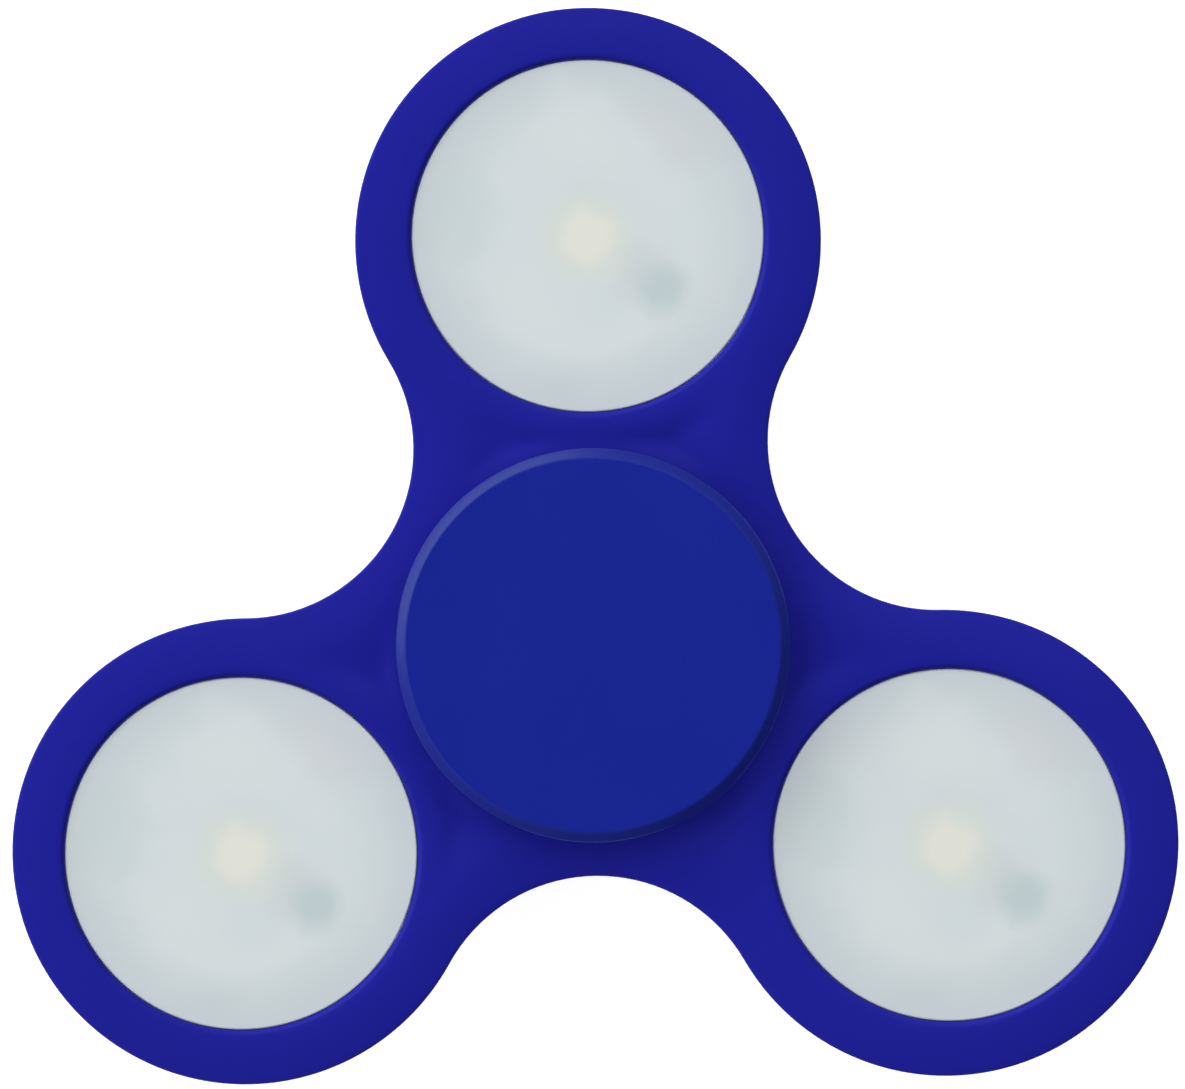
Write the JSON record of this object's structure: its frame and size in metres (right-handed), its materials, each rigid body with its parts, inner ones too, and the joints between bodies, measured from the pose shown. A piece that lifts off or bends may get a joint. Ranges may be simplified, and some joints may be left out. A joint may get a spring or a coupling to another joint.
{
  "type": "fidget spinner",
  "caption": "Lobed hand spinner that turns on a ball bearing between round finger caps, with a frosted light pod and its push-button in every lobe.",
  "frame": {"origin": "centre of the rear finger cap's flat outer face", "axes": "+Z along the bearing axis towards the front finger cap and the frosted lenses, +Y towards the first lobe, +X to the right of it seen from the front"},
  "size_m": [0.0748, 0.0687, 0.013],
  "materials": {
    "blue_plastic": "moulded, semi-gloss, royal blue",
    "cap_plastic": "moulded, satin gloss, royal blue",
    "button_plastic": "moulded, satin, royal blue",
    "frosted_plastic": "frosted, translucent, milky white",
    "white_plastic": "moulded, satin, milky white",
    "bearing_steel": "ground and polished steel",
    "pressed_steel": "pressed sheet steel",
    "cell_steel": "nickel-plated can",
    "board_laminate": "white solder resist on glass laminate",
    "chip_resin": "black potting resin",
    "led_resin": "clear resin over a warm phosphor"
  },
  "bodies": {
    "hub": {"front_cap": "cap_plastic", "rear_cap": "cap_plastic", "bearing_inner_ring": "bearing_steel"},
    "spinner": {"spinner_frame": "blue_plastic", "bearing_outer_ring": "bearing_steel", "bearing_rear_shield": "pressed_steel", "bearing_front_shield": "pressed_steel", "pod_1_lens": "frosted_plastic", "pod_1_rear_cover": "white_plastic", "pod_1_switch_dome": "pressed_steel", "pod_1_circuit_board": "board_laminate", "pod_1_led": "led_resin", "pod_1_contact_plate": "pressed_steel", "pod_1_chip": "chip_resin", "pod_1_cell_1": "cell_steel", "pod_1_cell_2": "cell_steel", "pod_1_cell_3": "cell_steel", "pod_2_lens": "frosted_plastic", "pod_2_rear_cover": "white_plastic", "pod_2_switch_dome": "pressed_steel", "pod_2_circuit_board": "board_laminate", "pod_2_led": "led_resin", "pod_2_contact_plate": "pressed_steel", "pod_2_chip": "chip_resin", "pod_2_cell_1": "cell_steel", "pod_2_cell_2": "cell_steel", "pod_2_cell_3": "cell_steel", "pod_3_lens": "frosted_plastic", "pod_3_rear_cover": "white_plastic", "pod_3_switch_dome": "pressed_steel", "pod_3_circuit_board": "board_laminate", "pod_3_led": "led_resin", "pod_3_contact_plate": "pressed_steel", "pod_3_chip": "chip_resin", "pod_3_cell_1": "cell_steel", "pod_3_cell_2": "cell_steel", "pod_3_cell_3": "cell_steel"},
    "cage": {"bearing_cage": "pressed_steel"},
    "ball_1": {"bearing_ball_1": "bearing_steel"},
    "ball_2": {"bearing_ball_2": "bearing_steel"},
    "ball_3": {"bearing_ball_3": "bearing_steel"},
    "ball_4": {"bearing_ball_4": "bearing_steel"},
    "ball_5": {"bearing_ball_5": "bearing_steel"},
    "ball_6": {"bearing_ball_6": "bearing_steel"},
    "ball_7": {"bearing_ball_7": "bearing_steel"},
    "button_1": {"pod_1_button": "button_plastic"},
    "button_2": {"pod_2_button": "button_plastic"},
    "button_3": {"pod_3_button": "button_plastic"}
  },
  "joints": [
    {"name": "body_spin", "type": "hinge", "parent": "hub", "child": "spinner", "pos_m": [0, 0, 0.0065], "axis": [0, 0, 1], "continuous": true},
    {"name": "cage_spin", "type": "hinge", "parent": "hub", "child": "cage", "pos_m": [0, 0, 0.0065], "axis": [0, 0, 1], "continuous": true},
    {"name": "ball_1_spin", "type": "hinge", "parent": "cage", "child": "ball_1", "pos_m": [0, 0.0075, 0.0065], "axis": [0, 0, 1], "continuous": true},
    {"name": "ball_2_spin", "type": "hinge", "parent": "cage", "child": "ball_2", "pos_m": [-0.00586, 0.00468, 0.0065], "axis": [0, 0, 1], "continuous": true},
    {"name": "ball_3_spin", "type": "hinge", "parent": "cage", "child": "ball_3", "pos_m": [-0.00731, -0.00167, 0.0065], "axis": [0, 0, 1], "continuous": true},
    {"name": "ball_4_spin", "type": "hinge", "parent": "cage", "child": "ball_4", "pos_m": [-0.00325, -0.00676, 0.0065], "axis": [0, 0, 1], "continuous": true},
    {"name": "ball_5_spin", "type": "hinge", "parent": "cage", "child": "ball_5", "pos_m": [0.00325, -0.00676, 0.0065], "axis": [0, 0, 1], "continuous": true},
    {"name": "ball_6_spin", "type": "hinge", "parent": "cage", "child": "ball_6", "pos_m": [0.00731, -0.00167, 0.0065], "axis": [0, 0, 1], "continuous": true},
    {"name": "ball_7_spin", "type": "hinge", "parent": "cage", "child": "ball_7", "pos_m": [0.00586, 0.00468, 0.0065], "axis": [0, 0, 1], "continuous": true},
    {"name": "button_1_press", "type": "slide", "parent": "spinner", "child": "button_1", "axis": [0, 0, 1], "range_m": [0, 0.00025], "stiffness_N_per_m": 2000, "springref_m": -0.0005, "deforming": ["pod_1_switch_dome"]},
    {"name": "button_2_press", "type": "slide", "parent": "spinner", "child": "button_2", "axis": [0, 0, 1], "range_m": [0, 0.00025], "stiffness_N_per_m": 2000, "springref_m": -0.0005, "deforming": ["pod_2_switch_dome"]},
    {"name": "button_3_press", "type": "slide", "parent": "spinner", "child": "button_3", "axis": [0, 0, 1], "range_m": [0, 0.00025], "stiffness_N_per_m": 2000, "springref_m": -0.0005, "deforming": ["pod_3_switch_dome"]}
  ],
  "couplings": [
    {"joint": "cage_spin", "follows": "body_spin", "ratio": 0.6323},
    {"joint": "ball_1_spin", "follows": "body_spin", "ratio": 1.7573},
    {"joint": "ball_2_spin", "follows": "body_spin", "ratio": 1.7573},
    {"joint": "ball_3_spin", "follows": "body_spin", "ratio": 1.7573},
    {"joint": "ball_4_spin", "follows": "body_spin", "ratio": 1.7573},
    {"joint": "ball_5_spin", "follows": "body_spin", "ratio": 1.7573},
    {"joint": "ball_6_spin", "follows": "body_spin", "ratio": 1.7573},
    {"joint": "ball_7_spin", "follows": "body_spin", "ratio": 1.7573}
  ]
}
